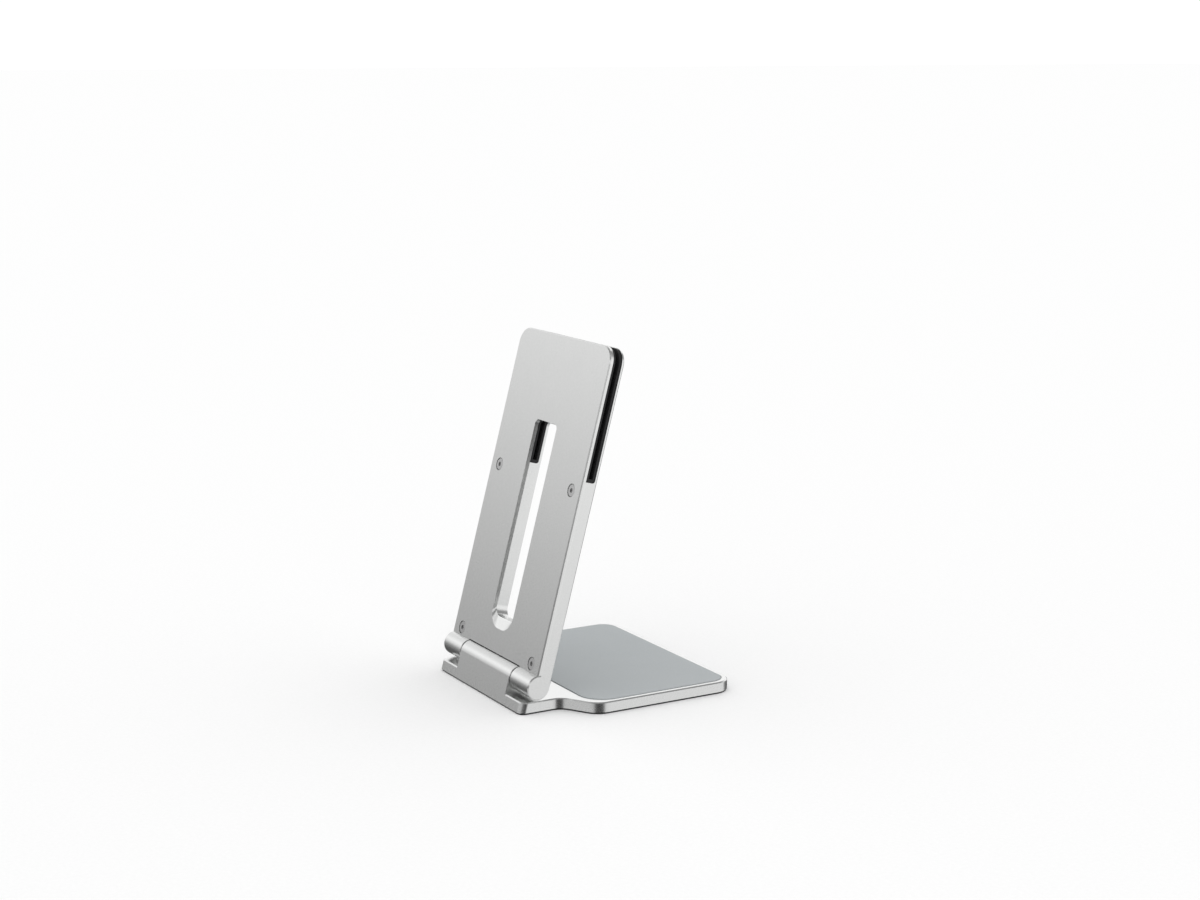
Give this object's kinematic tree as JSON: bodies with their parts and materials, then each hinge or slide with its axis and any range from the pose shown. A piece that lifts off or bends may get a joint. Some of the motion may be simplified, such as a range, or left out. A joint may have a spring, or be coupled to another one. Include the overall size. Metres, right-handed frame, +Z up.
{
  "type": "tablet stand",
  "caption": "Aluminium tablet stand: a weighted flat base, a friction hinge at its back, and a wide slotted arm whose lined top slot grips a tablet's kickstand.",
  "frame": {"origin": "centre of the base's footprint, on the surface it stands on", "axes": "+Z up, -Y towards the user with the grey pad in front, +X along the hinge axis"},
  "size_m": [0.14, 0.126, 0.1969],
  "materials": {
    "anodised_aluminium": "fine bead-blasted, clear anodised satin silver",
    "grey_silicone": "matte mid-grey",
    "black_silicone": "matte black",
    "plain_steel": "bright turned steel",
    "screw_steel": "satin steel",
    "sleeve_bronze": "oiled bronze",
    "black_acetal": "smooth matte black"
  },
  "bodies": {
    "base": {"base_body": "anodised_aluminium", "base_top_pad": "grey_silicone", "base_bottom_pad": "black_silicone", "base_weight": "plain_steel", "weight_screws": "screw_steel", "friction_sleeve_left": "sleeve_bronze", "friction_sleeve_right": "sleeve_bronze", "thrust_washer_left": "black_acetal", "thrust_washer_right": "black_acetal"},
    "arm": {"arm_frame": "anodised_aluminium", "arm_rear_plate": "anodised_aluminium", "arm_screws": "screw_steel", "alignment_pins": "plain_steel", "clamp_liner_front": "black_silicone", "clamp_liner_rear": "black_silicone", "clamp_liner_floor": "black_silicone", "hinge_shaft_left": "plain_steel", "hinge_shaft_right": "plain_steel", "spring_washers_left": "plain_steel", "spring_washers_right": "plain_steel", "tension_nut_left": "plain_steel", "tension_nut_right": "plain_steel", "shaft_set_screws": "screw_steel"}
  },
  "joints": [
    {"name": "arm_hinge", "type": "hinge", "parent": "base", "child": "arm", "pos_m": [0, 0.05232, 0.0146], "axis": [1, 0, 0], "range_deg": [-30, 75]}
  ]
}
